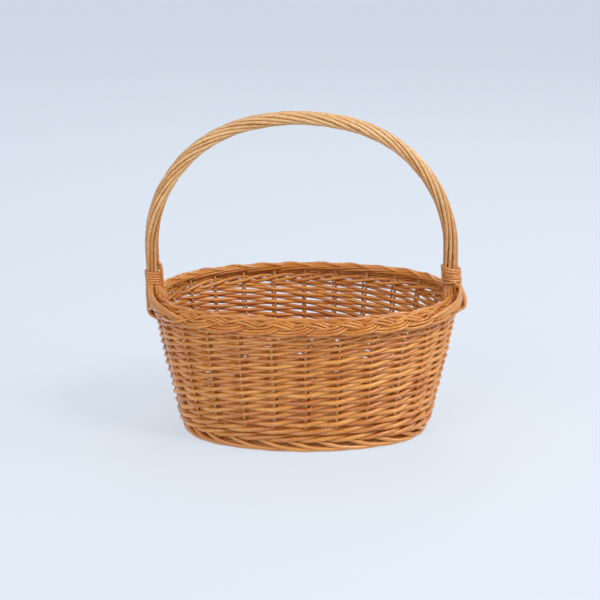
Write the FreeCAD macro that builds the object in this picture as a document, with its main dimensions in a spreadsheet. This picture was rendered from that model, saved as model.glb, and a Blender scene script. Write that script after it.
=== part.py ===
import FreeCAD, Part
import math
import os
import Sketcher

# An oval willow shopping basket: a flat base on a foot border, a leaning wall of four woven
# bands round upright stakes, a rolled border, and a fixed bow handle roped over its length.
# Millimetres. The origin is under the middle of the base, +Z is up and the handle spans X.

os.makedirs("parts", exist_ok=True)
doc = FreeCAD.newDocument("wicker_basket")

# ---------------------------------------------------------------------------------- sizes

SIZES = {
    # the plan of the rim: four arcs, one round each end and one along each side, which stands
    # out past the end arcs by the side bow
    "rim_half_length": 200,
    "rim_half_width": 150,
    "side_bow": 16,
    # heights of the bands of the wall, from the ground up
    "foot_height": 12,
    "upsett_height": 21,
    "siding_height": 117,
    "top_wale_height": 13,
    "border_height": 18,
    # how far the middle of the wall stands in from the rim's edge, at the foot and the border
    "foot_inset": 42,
    "border_inset": 12,
    # thickness of each band, in and out
    "foot_width": 15,
    "upsett_thickness": 16,
    "siding_thickness": 14.5,
    "top_wale_thickness": 14.5,
    "border_width": 22,
    "border_round": 7,
    "border_ease": 3,
    "foot_round": 4,
    # the base mat and its sticks
    "base_thickness": 9,
    "long_stick_diameter": 5,
    "long_stick_pitch": 8,
    "cross_stick_diameter": 7,
    "slit_clearance": 0.1,
    # uprights
    "stake_diameter": 4.5,
    "stake_start": 3,
    "stake_in_border": 9,
    "bye_stake_diameter": 3.2,
    "bye_stake_gap": 0.4,
    # handle: its legs stand in from the rim's edge, its shoulder arcs are centred a little off
    # the middle, and its flatter crown stands over them
    "handle_inset": 9.5,
    "handle_spring": 234,
    "shoulder_shift": 26,
    "crown_rise": 3.5,
    "leg_bend_radius": 60,
    "bow_diameter": 11,
    "bow_start": 18,
    "roping_diameter": 18,
    "border_gap": 1,
    "neck_wrap_wall": 2.2,
    "neck_wrap_length": 24,
    # tails of the rope
    "tail_diameter": 4,
    "tail_pitch": 4.4,
    "tail_bend_radius": 6,
    "tail_drop": 5,
}

LONG_STICKS = 4
CROSS_STICKS = 7
STAKE_GAPS_ON_END = 7
STAKE_GAPS_ON_SIDE = 6
TAILS = 3

sheet = doc.addObject("Spreadsheet::Sheet", "Sizes")
for row, (alias, value) in enumerate(SIZES.items(), start=1):
    sheet.set(f"A{row}", alias.replace("_", " "))
    sheet.set(f"B{row}", str(value))
    sheet.setAlias(f"B{row}", alias)
doc.recompute()


def cell(alias):
    """The name of a sheet cell, for use in an expression."""
    return f"Sizes.{alias}"


# ------------------------------------------------------------- plan and wall, as expressions

# An end arc is centred on the X axis and a side arc on the Y axis. Every smaller oval has the
# same four centres and the same angles, with both radii less by its inset.
END_RADIUS = f"({cell('rim_half_width')} - {cell('side_bow')})"
END_CENTRE = f"({cell('rim_half_length')} - {END_RADIUS})"
SIDE_CENTRE = f"(({END_CENTRE}^2 - {cell('side_bow')}^2) / (2 * {cell('side_bow')}))"
SIDE_RADIUS = f"({cell('rim_half_width')} + {SIDE_CENTRE})"
END_ANGLE = f"atan2({SIDE_CENTRE}; {END_CENTRE})"
SIDE_ANGLE = f"atan2({END_CENTRE}; {SIDE_CENTRE})"

FOOT_TOP = cell("foot_height")
UPSETT_TOP = f"({FOOT_TOP} + {cell('upsett_height')})"
SIDING_TOP = f"({UPSETT_TOP} + {cell('siding_height')})"
WALL_TOP = f"({SIDING_TOP} + {cell('top_wale_height')})"
BORDER_TOP = f"({WALL_TOP} + {cell('border_height')})"
LEAN = f"(({cell('foot_inset')} - {cell('border_inset')}) / ({WALL_TOP} - {FOOT_TOP}))"


def wall_inset(height):
    """How far in from the rim's edge the middle of the wall is, at a height."""
    return f"({cell('border_inset')} + ({WALL_TOP} - {height}) * {LEAN})"


def value_of(expression):
    """The number an expression gives now, such as the first guess of a sketch."""
    result = sheet.evalExpression(expression)
    return getattr(result, "Value", result)


# ------------------------------------------------------------------------------- helpers

PARTS = []


def finished(piece, label):
    """Name a piece and put it on the list of what is written out."""
    piece.Label = label
    PARTS.append(piece)
    return piece


def plane(body, role):
    """One of a body's own origin planes."""
    return next(item for item in body.Origin.OriginFeatures if item.Role == role)


def sketch_on(body, name, role):
    """A new sketch that lies flat on one of the body's origin planes."""
    sketch = body.newObject("Sketcher::SketchObject", name)
    sketch.AttachmentSupport = (plane(body, role), [""])
    sketch.MapMode = "FlatFace"
    return sketch


def hold(sketch, geometry, point, across=None, up=None):
    """Fix a point of a sketch across, up or both ways, at an expression each."""
    for kind, expression in (("DistanceX", across), ("DistanceY", up)):
        if expression is not None:
            at = sketch.addConstraint(
                Sketcher.Constraint(kind, -1, 1, geometry, point, value_of(expression))
            )
            sketch.setExpression(f"Constraints[{at}]", expression)


def hold_radius(sketch, geometry, radius):
    """Fix the radius of an arc or a circle of a sketch at an expression."""
    at = sketch.addConstraint(Sketcher.Constraint("Radius", geometry, value_of(radius)))
    sketch.setExpression(f"Constraints[{at}]", radius)


def add_arc(sketch, centre, radius, start, end):
    """Add an arc to a sketch: centre and radius as expressions, its two angles in degrees."""
    middle = FreeCAD.Vector(value_of(centre[0]), value_of(centre[1]), 0)
    circle = Part.Circle(middle, FreeCAD.Vector(0, 0, 1), value_of(radius))
    arc = Part.ArcOfCircle(circle, math.radians(start), math.radians(end))
    return sketch.addGeometry(arc, False)


def add_line(sketch, start, end):
    """Add a straight line to a sketch between two points given as expressions."""
    ends = [FreeCAD.Vector(value_of(x), value_of(y), 0) for x, y in (start, end)]
    return sketch.addGeometry(Part.LineSegment(*ends), False)


def outline(sketch, corners):
    """A closed outline of straight lines through corners given as pairs of expressions."""
    count = len(corners)
    for i, corner in enumerate(corners):
        add_line(sketch, corner, corners[(i + 1) % count])
    for i, (x, y) in enumerate(corners):
        sketch.addConstraint(Sketcher.Constraint("Coincident", i, 2, (i + 1) % count, 1))
        hold(sketch, i, 1, x, y)


def oval_ring(name, section):
    """
    A ring that follows the oval: the section, corners of inset and height, is turned round
    the right end and along the back, and both are mirrored.
    """
    body = doc.addObject("PartDesign::Body", name)
    turns = (
        ("end", "XZ_Plane", END_CENTRE, END_RADIUS, END_ANGLE),
        ("side", "YZ_Plane", f"-{SIDE_CENTRE}", SIDE_RADIUS, SIDE_ANGLE),
    )
    made = []
    for part, role, centre, radius, angle in turns:
        sketch = sketch_on(body, f"{name}_{part}_section", role)
        sketch.setExpression("AttachmentOffset.Base.x", centre)
        outline(sketch, [(f"{radius} - {inset}", height) for inset, height in section])
        turn = body.newObject("PartDesign::Revolution", f"{name}_{part}_turn")
        turn.Profile = sketch
        turn.ReferenceAxis = (sketch, ["V_Axis"])
        turn.Midplane = True
        turn.setExpression("Angle", f"2 * {angle}")
        doc.recompute()
        made.append(turn)
    for turn, role in zip(made, ("YZ_Plane", "XZ_Plane")):
        mirror = body.newObject("PartDesign::Mirrored", f"{turn.Name}_mirrored")
        mirror.Originals = [turn]
        mirror.MirrorPlane = (plane(body, role), [""])
        body.Tip = mirror
        doc.recompute()
    return body


def round_edges(body, name, radius, chosen):
    """Round the edges of a body that a test picks."""
    base = body.Tip
    fillet = body.newObject("PartDesign::Fillet", name)
    edges = enumerate(base.Shape.Edges, start=1)
    fillet.Base = (base, [f"Edge{number}" for number, edge in edges if chosen(edge)])
    fillet.setExpression("Radius", radius)
    body.Tip = fillet
    doc.recompute()


def is_level(edge, height):
    """Whether a curved edge lies at one height."""
    box = edge.BoundBox
    flat = abs(box.ZMin - height) < 1e-6 and abs(box.ZMax - height) < 1e-6
    return flat and isinstance(edge.Curve, Part.Circle)


def group_of(name, pieces):
    """Several solids held together as one tool or one node."""
    group = doc.addObject("Part::Compound", name)
    group.Links = pieces
    return group


def cut_from(base, tools, label):
    """What is left of a piece once the pieces that pass through it have their holes."""
    cut = doc.addObject("Part::Cut", f"{label}_with_holes")
    cut.Base = base
    cut.Tool = tools
    return finished(cut, label)


def leaning_band(name, low, high, thickness):
    """A woven band of the wall: level above and below, leaning out with the wall."""
    half = f"{cell(thickness)} / 2"
    return oval_ring(
        name,
        [
            (f"({wall_inset(low)} + {half})", low),
            (f"({wall_inset(low)} - {half})", low),
            (f"({wall_inset(high)} - {half})", high),
            (f"({wall_inset(high)} + {half})", high),
        ],
    )


# ------------------------------------------------------------------------------ uprights


def stake_places():
    """Centre, radius and outward angle of each stake's place, anticlockwise round the oval."""
    right = (END_CENTRE, "0", END_RADIUS)
    back = ("0", f"-{SIDE_CENTRE}", SIDE_RADIUS)
    left = (f"-{END_CENTRE}", "0", END_RADIUS)
    front = ("0", SIDE_CENTRE, SIDE_RADIUS)
    runs = (
        (right, "0 deg", END_ANGLE, STAKE_GAPS_ON_END),
        (back, "90 deg", SIDE_ANGLE, STAKE_GAPS_ON_SIDE),
        (left, "180 deg", END_ANGLE, STAKE_GAPS_ON_END),
        (front, "270 deg", SIDE_ANGLE, STAKE_GAPS_ON_SIDE),
    )
    for arc, middle, half_angle, gaps in runs:
        for gap in range(gaps):
            share = 2 * gap / gaps - 1
            yield arc, f"({middle} + {half_angle} * {share:.9f})"


def upright(name, arc, angle, diameter, low, high, aside):
    """A straight rod in the middle of the wall, leaning out with it, moved aside along it."""
    centre_x, centre_y, radius = arc
    rod = doc.addObject("Part::Cylinder", name)
    rod.setExpression("Radius", f"{diameter} / 2")
    rod.setExpression("Height", f"({high} - {low}) * sqrt(1 + {LEAN}^2)")
    out = f"({radius} - {wall_inset(low)})"
    at_x = f"{centre_x} + {out} * cos({angle}) - {aside} * sin({angle})"
    at_y = f"{centre_y} + {out} * sin({angle}) + {aside} * cos({angle})"
    tilt = f"rotation(vector(-sin({angle}); cos({angle}); 0); atan({LEAN}))"
    rod.setExpression("Placement", f"placement(vector({at_x}; {at_y}; {low}); {tilt})")
    return rod


STAKE_TOP = f"({WALL_TOP} + {cell('stake_in_border')})"
BYE_ASIDE = (
    f"(({cell('stake_diameter')} + {cell('bye_stake_diameter')}) / 2 + {cell('bye_stake_gap')})"
)
# A leaning rod's square-cut end stands up on one side, so a bye-stake stops that much short.
BYE_EASE = f"({cell('bye_stake_diameter')} / 2 * {LEAN})"
BYE_LOW = f"({FOOT_TOP} + {BYE_EASE})"
BYE_HIGH = f"({WALL_TOP} - {BYE_EASE})"
stakes = []
bye_rods = []
for number, (arc, angle) in enumerate(stake_places(), start=1):
    stake = upright(
        f"stake_{number:02d}", arc, angle,
        cell("stake_diameter"), cell("stake_start"), STAKE_TOP, "0",
    )
    stakes.append(finished(stake, f"side_stake_{number:02d}"))
    bye_rods.append(
        upright(
            f"bye_stake_{number:02d}", arc, angle,
            cell("bye_stake_diameter"), BYE_LOW, BYE_HIGH, BYE_ASIDE,
        )
    )
bye_stakes = finished(group_of("bye_stake_group", bye_rods), "bye_stakes")

# -------------------------------------------------------------------------------- handle

# Half of the bow's line: a wide arc over the top, a shoulder arc, a straight leg, a small
# bend, and a straight run down the middle of the wall.
LEG_X = f"({cell('rim_half_length')} - {cell('handle_inset')})"
SHOULDER_X = cell("shoulder_shift")
SHOULDER_RADIUS = f"({LEG_X} - {SHOULDER_X})"
CROWN_RISE = cell("crown_rise")
CROWN_DROP = f"(({SHOULDER_X}^2 - {CROWN_RISE}^2) / (2 * {CROWN_RISE}))"
CROWN_RADIUS = f"({SHOULDER_RADIUS} + {CROWN_RISE} + {CROWN_DROP})"
CROWN_Z = f"({cell('handle_spring')} - {CROWN_DROP})"
CROWN_ANGLE = f"atan2({CROWN_DROP}; {SHOULDER_X})"
HANDLE_TOP = f"({cell('handle_spring')} + {SHOULDER_RADIUS} + {CROWN_RISE})"
BEND_Z = f"({WALL_TOP} + ({cell('border_inset')} - {cell('handle_inset')}) / {LEAN})"
BEND_TANGENT = f"({cell('leg_bend_radius')} * tan(atan({LEAN}) / 2))"
BEND_START = f"({BEND_Z} + {BEND_TANGENT})"


def bow_line(body, name, foot):
    """Half the bow as a sketch: the crown arc, the shoulder arc and the straight leg."""
    sketch = sketch_on(body, name, "XZ_Plane")
    crown_end = value_of(CROWN_ANGLE)
    spring = cell("handle_spring")
    crown = add_arc(sketch, ("0", CROWN_Z), CROWN_RADIUS, crown_end, 90)
    shoulder = add_arc(sketch, (SHOULDER_X, spring), SHOULDER_RADIUS, 0, crown_end)
    leg = add_line(sketch, (LEG_X, spring), (LEG_X, foot))
    hold(sketch, crown, 3, across="0")
    hold(sketch, crown, 2, "0", HANDLE_TOP)
    hold(sketch, shoulder, 3, SHOULDER_X, spring)
    hold(sketch, shoulder, 1, LEG_X, spring)
    sketch.addConstraint(Sketcher.Constraint("Tangent", crown, 1, shoulder, 2))
    sketch.addConstraint(Sketcher.Constraint("Coincident", shoulder, 1, leg, 1))
    hold(sketch, leg, 2, LEG_X, foot)
    return sketch, leg


def swept_bow(name, line, diameters):
    """A round rod, or a tube with two diameters, carried down half the bow and mirrored."""
    body = line.getParentGeoFeatureGroup()
    section = sketch_on(body, f"{name}_section", "YZ_Plane")
    for number, diameter in enumerate(diameters):
        centre = FreeCAD.Vector(0, value_of(HANDLE_TOP), 0)
        radius = value_of(f"{diameter} / 2")
        section.addGeometry(Part.Circle(centre, FreeCAD.Vector(0, 0, 1), radius), False)
        hold(section, number, 3, "0", HANDLE_TOP)
        hold_radius(section, number, f"{diameter} / 2")
    pipe = body.newObject("PartDesign::AdditivePipe", f"{name}_pipe")
    pipe.Profile = section
    pipe.Spine = line
    mirror = body.newObject("PartDesign::Mirrored", f"{name}_mirrored")
    mirror.Originals = [pipe]
    mirror.MirrorPlane = (plane(body, "YZ_Plane"), [""])
    body.Tip = mirror
    doc.recompute()
    return body


bow_body = doc.addObject("PartDesign::Body", "bow")
bow_sketch, bow_leg = bow_line(bow_body, "bow_line", BEND_START)
bend_radius = cell("leg_bend_radius")
bend_centre = (f"({LEG_X} - {bend_radius})", BEND_START)
bend_foot = (
    f"({LEG_X} - {BEND_TANGENT} * sin(atan({LEAN})))",
    f"({BEND_Z} - {BEND_TANGENT} * cos(atan({LEAN})))",
)
bow_foot = (
    f"({cell('rim_half_length')} - {wall_inset(cell('bow_start'))})",
    cell("bow_start"),
)
bend = add_arc(bow_sketch, bend_centre, bend_radius, -value_of(f"atan({LEAN})"), 0)
run = add_line(bow_sketch, bend_foot, bow_foot)
bow_sketch.addConstraint(Sketcher.Constraint("Coincident", bow_leg, 2, bend, 2))
hold(bow_sketch, bend, 3, *bend_centre)
hold(bow_sketch, bend, 1, up=bend_foot[1])
bow_sketch.addConstraint(Sketcher.Constraint("Coincident", bend, 1, run, 1))
hold(bow_sketch, run, 2, *bow_foot)
handle_bow = finished(swept_bow("bow", bow_sketch, [cell("bow_diameter")]), "handle_bow")

roping_body = doc.addObject("PartDesign::Body", "roping")
roping_foot = f"({BORDER_TOP} + {cell('border_gap')})"
roping_sketch, roping_leg = bow_line(roping_body, "roping_line", roping_foot)
roping_diameters = [cell("roping_diameter"), cell("bow_diameter")]
finished(swept_bow("roping", roping_sketch, roping_diameters), "handle_roping")

# Whipping: a short thick ring round each neck, just above the border.
WRAP_RADIUS = f"({cell('roping_diameter')} / 2 + {cell('neck_wrap_wall')})"
for side, sign in (("left", "-1"), ("right", "1")):
    turns = []
    for name, radius in (("coil", WRAP_RADIUS), ("core", f"{cell('roping_diameter')} / 2")):
        cylinder = doc.addObject("Part::Cylinder", f"{side}_{name}")
        cylinder.setExpression("Radius", radius)
        cylinder.setExpression("Height", cell("neck_wrap_length"))
        at = f"vector({sign} * {LEG_X}; 0; {roping_foot})"
        cylinder.setExpression("Placement", f"placement({at}; rotation(vector(0; 0; 1); 0))")
        turns.append(cylinder)
    cut_from(turns[0], turns[1], f"{side}_neck_wrap")

# --------------------------------------------------------------------------- woven bands

foot_half = f"{cell('foot_width')} / 2"
foot_outer = f"({cell('foot_inset')} - {foot_half})"
foot_inner = f"({cell('foot_inset')} + {foot_half})"
foot_ring = oval_ring(
    "foot_ring",
    [(foot_inner, "0"), (foot_outer, "0"), (foot_outer, FOOT_TOP), (foot_inner, FOOT_TOP)],
)
outside = value_of(f"{END_RADIUS} - {cell('foot_inset')}")
round_edges(
    foot_ring, "foot_rounding", cell("foot_round"),
    lambda edge: is_level(edge, 0) and (
        outside < edge.Curve.Radius < value_of(END_RADIUS)
        or edge.Curve.Radius > value_of(f"{SIDE_RADIUS} - {cell('foot_inset')}")
    ),
)
stake_tools = group_of("stake_tools", stakes)
wall_tools = group_of("wall_tools", [stake_tools, bye_stakes, handle_bow])
border_tools = group_of("border_tools", [stake_tools, handle_bow])
cut_from(foot_ring, stake_tools, "foot_border")

BANDS = (
    ("upsett_wale", FOOT_TOP, UPSETT_TOP, "upsett_thickness"),
    ("side_weave", UPSETT_TOP, SIDING_TOP, "siding_thickness"),
    ("top_wale", SIDING_TOP, WALL_TOP, "top_wale_thickness"),
)
for label, low, high, thickness in BANDS:
    cut_from(leaning_band(f"{label}_ring", low, high, thickness), wall_tools, label)

border_inner = cell("border_width")
border_ring = oval_ring(
    "border_ring",
    [(border_inner, WALL_TOP), ("0", WALL_TOP), ("0", BORDER_TOP), (border_inner, BORDER_TOP)],
)
border_edges = (
    ("border_top_rounding", "border_round", BORDER_TOP),
    ("border_under_rounding", "border_ease", WALL_TOP),
)
for name, radius, height in border_edges:
    level = value_of(height)
    round_edges(border_ring, name, cell(radius), lambda edge: is_level(edge, level))
cut_from(border_ring, border_tools, "rim_border")

# ---------------------------------------------------------------------------------- base

# The cross sticks are slit in the middle, and the long sticks are threaded through the slits.
# The mat lies inside the foot border, level with its top.
MAT_LOW = f"({FOOT_TOP} - {cell('base_thickness')})"
STICK_Z = f"({FOOT_TOP} - {cell('base_thickness')} / 2)"
MAT_INSET = foot_inner


def lying_rod(name, diameter, half_length, turn, at_x, at_y):
    """A round stick lying level in the base, with its middle at a point."""
    rod = doc.addObject("Part::Cylinder", name)
    rod.setExpression("Radius", f"{diameter} / 2")
    rod.setExpression("Height", f"2 * {half_length}")
    rod.setExpression("Placement", f"placement(vector({at_x}; {at_y}; {STICK_Z}); {turn})")
    return rod


long_sticks = []
for number in range(1, LONG_STICKS + 1):
    across = f"(({number - 1 - (LONG_STICKS - 1) / 2}) * {cell('long_stick_pitch')})"
    mat_radius = f"({END_RADIUS} - {MAT_INSET})"
    reach = f"({END_CENTRE} + sqrt({mat_radius}^2 - (abs({across}) + {cell('long_stick_diameter')} / 2)^2))"
    stick = lying_rod(
        f"long_stick_{number}", cell("long_stick_diameter"), reach,
        "rotation(vector(0; 1; 0); 90)", f"-{reach}", across,
    )
    long_sticks.append(finished(stick, f"base_long_stick_{number}"))

slit = doc.addObject("Part::Box", "slit")
slit_width = (
    f"({LONG_STICKS - 1} * {cell('long_stick_pitch')} + {cell('long_stick_diameter')}"
    f" + 2 * {cell('slit_clearance')})"
)
slit_depth = f"({cell('long_stick_diameter')} + 2 * {cell('slit_clearance')})"
slit.setExpression("Length", f"2 * {cell('rim_half_length')}")
slit.setExpression("Width", slit_width)
slit.setExpression("Height", slit_depth)
corner = f"vector(-{cell('rim_half_length')}; -{slit_width} / 2; {STICK_Z} - {slit_depth} / 2)"
slit.setExpression("Placement", f"placement({corner}; rotation(vector(0; 0; 1); 0))")

cross_sticks = []
for number in range(1, CROSS_STICKS + 1):
    share = 2 * (number - 1) / (CROSS_STICKS - 1) - 1
    along = f"({END_CENTRE} * {share:.9f})"
    mat_radius = f"({SIDE_RADIUS} - {MAT_INSET})"
    edge_x = f"(abs({along}) + {cell('cross_stick_diameter')} / 2)"
    reach = f"(sqrt({mat_radius}^2 - {edge_x}^2) - {SIDE_CENTRE})"
    rod = lying_rod(
        f"cross_rod_{number}", cell("cross_stick_diameter"), reach,
        "rotation(vector(1; 0; 0); -90)", along, f"-{reach}",
    )
    cross_sticks.append(cut_from(rod, slit, f"base_cross_stick_{number}"))

mat_body = doc.addObject("PartDesign::Body", "mat")
mat_plan = sketch_on(mat_body, "mat_plan", "XY_Plane")
mat_plan.setExpression("AttachmentOffset.Base.z", MAT_LOW)
end_half = value_of(END_ANGLE)
mat_arcs = (
    ((END_CENTRE, "0"), f"({END_RADIUS} - {MAT_INSET})", -end_half, end_half),
    (("0", f"-{SIDE_CENTRE}"), f"({SIDE_RADIUS} - {MAT_INSET})", end_half, 180 - end_half),
    ((f"-{END_CENTRE}", "0"), f"({END_RADIUS} - {MAT_INSET})", 180 - end_half, 180 + end_half),
    (("0", SIDE_CENTRE), f"({SIDE_RADIUS} - {MAT_INSET})", 180 + end_half, 360 - end_half),
)
for centre, radius, start, end in mat_arcs:
    add_arc(mat_plan, centre, radius, start, end)
for number, (centre, radius, start, end) in enumerate(mat_arcs):
    mat_plan.addConstraint(Sketcher.Constraint("Tangent", number, 2, (number + 1) % 4, 1))
    if centre[1] == "0":
        hold(mat_plan, number, 3, *centre)
        hold_radius(mat_plan, number, radius)
    else:
        hold(mat_plan, number, 3, up=centre[1])
mat_pad = mat_body.newObject("PartDesign::Pad", "mat_pad")
mat_pad.Profile = mat_plan
mat_pad.setExpression("Length", cell("base_thickness"))
mat_body.Tip = mat_pad
doc.recompute()
mat_tools = group_of("mat_tools", long_sticks + cross_sticks)
cut_from(mat_body, mat_tools, "base_weave")

# ---------------------------------------------------------------------------- rope tails

# Each tail leaves the whipping outside the border, drops past it and turns in to the wall.
TAIL_X = f"({cell('rim_half_length')} + {cell('tail_diameter')} / 2)"
TAIL_TURN_Z = f"({WALL_TOP} - {cell('tail_drop')})"
TAIL_TOP_Z = f"({TAIL_TURN_Z} + {cell('tail_diameter')} / 2)"
TAIL_END_X = (
    f"({cell('rim_half_length')} - {wall_inset(TAIL_TOP_Z)} + {cell('top_wale_thickness')} / 2)"
)
for side, sign in (("left", -1), ("right", 1)):
    tails = []
    for number in range(TAILS):
        aside = f"({number - (TAILS - 1) / 2} * {cell('tail_pitch')})"
        pieces = []
        drop = doc.addObject("Part::Cylinder", f"{side}_tail_drop_{number}")
        drop_foot = f"({TAIL_TURN_Z} + {cell('tail_bend_radius')})"
        drop.setExpression("Height", f"{roping_foot} - {drop_foot}")
        at = f"vector({sign} * {TAIL_X}; {aside}; {drop_foot})"
        drop.setExpression("Placement", f"placement({at}; rotation(vector(0; 0; 1); 0))")
        inward = doc.addObject("Part::Cylinder", f"{side}_tail_end_{number}")
        bend_x = f"({TAIL_X} - {cell('tail_bend_radius')})"
        inward.setExpression("Height", f"{bend_x} - {TAIL_END_X}")
        at = f"vector({sign} * {TAIL_END_X}; {aside}; {TAIL_TURN_Z})"
        inward.setExpression("Placement", f"placement({at}; rotation(vector(0; 1; 0); {sign} * 90))")
        for rod in (drop, inward):
            rod.setExpression("Radius", f"{cell('tail_diameter')} / 2")
        bend = doc.addObject("Part::Torus", f"{side}_tail_bend_{number}")
        bend.setExpression("Radius1", cell("tail_bend_radius"))
        bend.setExpression("Radius2", f"{cell('tail_diameter')} / 2")
        bend.Angle3 = 90
        at = f"vector({sign} * {bend_x}; {aside}; {drop_foot})"
        turn = "rotation(vector(1; 0; 0); -90)" if sign > 0 else (
            "rotation(vector(0; 0; 1); 180) * rotation(vector(1; 0; 0); -90)"
        )
        bend.setExpression("Placement", f"placement({at}; {turn})")
        tail = doc.addObject("Part::MultiFuse", f"{side}_tail_{number}")
        tail.Shapes = [drop, bend, inward]
        tails.append(tail)
    finished(group_of(f"{side}_tail_group", tails), f"{side}_rope_tails")

# --------------------------------------------------------------------- checks and writing

doc.recompute()
for item in doc.Objects:
    if "Invalid" in item.State or "Error" in item.State:
        raise RuntimeError(f"{item.Label} did not build: {item.State}")
for piece in PARTS:
    if piece.Shape.isNull() or not piece.Shape.isValid():
        raise RuntimeError(f"{piece.Label} is not a sound shape")
for piece in PARTS:
    piece.Shape.exportStep(f"parts/{piece.Label}.step")
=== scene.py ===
import bpy
import numpy as np
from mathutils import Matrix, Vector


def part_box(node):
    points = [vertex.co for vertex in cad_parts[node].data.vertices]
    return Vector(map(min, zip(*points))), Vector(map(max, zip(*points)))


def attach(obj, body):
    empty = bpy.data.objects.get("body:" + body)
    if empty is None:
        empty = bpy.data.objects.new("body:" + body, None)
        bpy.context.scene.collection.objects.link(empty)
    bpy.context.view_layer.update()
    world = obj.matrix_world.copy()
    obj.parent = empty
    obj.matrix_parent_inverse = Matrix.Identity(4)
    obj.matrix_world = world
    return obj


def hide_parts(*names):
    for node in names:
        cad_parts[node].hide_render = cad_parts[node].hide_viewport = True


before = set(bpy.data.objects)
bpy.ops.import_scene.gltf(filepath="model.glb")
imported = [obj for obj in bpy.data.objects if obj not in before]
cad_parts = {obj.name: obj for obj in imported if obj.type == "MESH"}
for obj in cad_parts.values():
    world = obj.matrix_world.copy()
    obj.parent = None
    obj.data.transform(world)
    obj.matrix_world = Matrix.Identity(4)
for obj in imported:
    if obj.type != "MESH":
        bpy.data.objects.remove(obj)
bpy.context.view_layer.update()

# ------------------------------------------------------------------ the sticks of the base
# Seven willow sticks lie across the base, slit in the middle, and four more are threaded
# through the slits along it. They are the first thing made, and only the slits hold them.


def unit(vectors):
    """Each vector divided by its own length."""
    return vectors / np.maximum(np.linalg.norm(vectors, axis=-1, keepdims=True), 1e-12)


def rods(name, paths, radius, lean, tone, sides=8, closed=False):
    """
    Round rods, one a path: at every point of the path stands a circle square to it, of the
    radius there, whose first point is on the side that it leans to. Paths is rods x points x 3.
    """
    count, length = paths.shape[:2]
    if closed:
        ahead = np.roll(paths, -1, axis=1) - np.roll(paths, 1, axis=1)
    else:
        ahead = np.gradient(paths, axis=1)
    ahead = unit(ahead)
    lean = np.broadcast_to(lean, paths.shape)
    first = unit(lean - ahead * np.sum(lean * ahead, axis=-1, keepdims=True))
    second = np.cross(ahead, first)
    turn = np.arange(sides) * 2 * np.pi / sides
    radius = np.broadcast_to(radius, (count, length))[:, :, None, None]
    cosine = np.cos(turn)[None, None, :, None]
    sine = np.sin(turn)[None, None, :, None]
    circles = paths[:, :, None] + radius * (cosine * first[:, :, None] + sine * second[:, :, None])

    index = np.arange(count * length * sides).reshape(count, length, sides)
    after = np.roll(index, -1, axis=1) if closed else index[:, 1:]
    here = index if closed else index[:, :-1]
    walls = np.stack(
        [here, np.roll(here, -1, axis=2), np.roll(after, -1, axis=2), after], axis=-1
    ).reshape(-1, 4)
    loops = [walls.ravel()]
    sizes = [np.full(len(walls), 4)]
    step = np.linalg.norm(np.diff(paths, axis=1), axis=-1)
    run = np.concatenate([np.zeros((count, 1)), np.cumsum(step, axis=1)], axis=1)
    last = run[:, -1:] + (np.linalg.norm(paths[:, 0] - paths[:, -1], axis=-1)[:, None])
    run_after = np.concatenate([run[:, 1:], last], axis=1) if closed else run[:, 1:]
    run_here = run if closed else run[:, :-1]
    around = np.arange(sides) / sides
    u = np.stack([around, around + 1 / sides, around + 1 / sides, around], axis=-1)
    u = np.broadcast_to(u, run_here.shape + u.shape)
    v = np.stack([run_here, run_here, run_after, run_after], axis=-1)[:, :, None]
    v = np.broadcast_to(v, u.shape)
    maps = [np.stack([u, v], axis=-1).reshape(-1, 2)]
    cuts = [np.zeros(walls.size)]
    if not closed:
        for ends in (index[:, 0, ::-1], index[:, -1]):
            loops.append(ends.ravel())
            sizes.append(np.full(count, sides))
            maps.append(np.zeros((ends.size, 2)))
            cuts.append(np.ones(ends.size))
    loops = np.concatenate(loops)
    sizes = np.concatenate(sizes)

    mesh = bpy.data.meshes.new(name)
    mesh.vertices.add(index.size)
    mesh.vertices.foreach_set("co", circles.ravel())
    mesh.loops.add(len(loops))
    mesh.loops.foreach_set("vertex_index", loops)
    mesh.polygons.add(len(sizes))
    mesh.polygons.foreach_set("loop_start", np.concatenate([[0], np.cumsum(sizes)[:-1]]))
    mesh.polygons.foreach_set("loop_total", sizes)
    mesh.polygons.foreach_set("use_smooth", sizes == 4)
    mesh.uv_layers.new(name="rod").data.foreach_set("uv", np.concatenate(maps).ravel())
    cut = mesh.attributes.new("cut", "FLOAT", "CORNER")
    cut.data.foreach_set("value", np.concatenate(cuts))
    shade = mesh.attributes.new("tone", "FLOAT", "POINT")
    tone = np.asarray(tone, dtype=float).reshape(count, -1)
    tone = np.broadcast_to(tone[:, :, None], (count, length, sides))
    shade.data.foreach_set("value", tone.ravel())
    mesh.update(calc_edges=True)
    mesh.validate()
    piece = bpy.data.objects.new(name, mesh)
    bpy.context.collection.objects.link(piece)
    return piece


def link(tree, start, end):
    """Join two sockets of a node tree."""
    tree.links.new(start, end)


def math_node(tree, operation, first, second=0.5):
    """A Math node; either value may be a number or a socket."""
    node = tree.nodes.new("ShaderNodeMath")
    node.operation = operation
    for slot, value in zip(node.inputs, (first, second)):
        if isinstance(value, (int, float)):
            slot.default_value = value
        else:
            link(tree, value, slot)
    return node.outputs[0]


def noise_node(tree, vector, scale, detail):
    """A noise of one scale read at a vector."""
    node = tree.nodes.new("ShaderNodeTexNoise")
    node.inputs["Scale"].default_value = scale
    node.inputs["Detail"].default_value = detail
    link(tree, vector, node.inputs["Vector"])
    return node.outputs["Fac"]


def mix_node(tree, factor, first, second, blend="MIX"):
    """A colour mix of two colours or sockets."""
    node = tree.nodes.new("ShaderNodeMix")
    node.data_type = "RGBA"
    node.blend_type = blend
    for slot, value in ((node.inputs[0], factor), (node.inputs[6], first), (node.inputs[7], second)):
        if isinstance(value, bpy.types.NodeSocket):
            link(tree, value, slot)
        else:
            slot.default_value = value
    return node.outputs[2]


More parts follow.
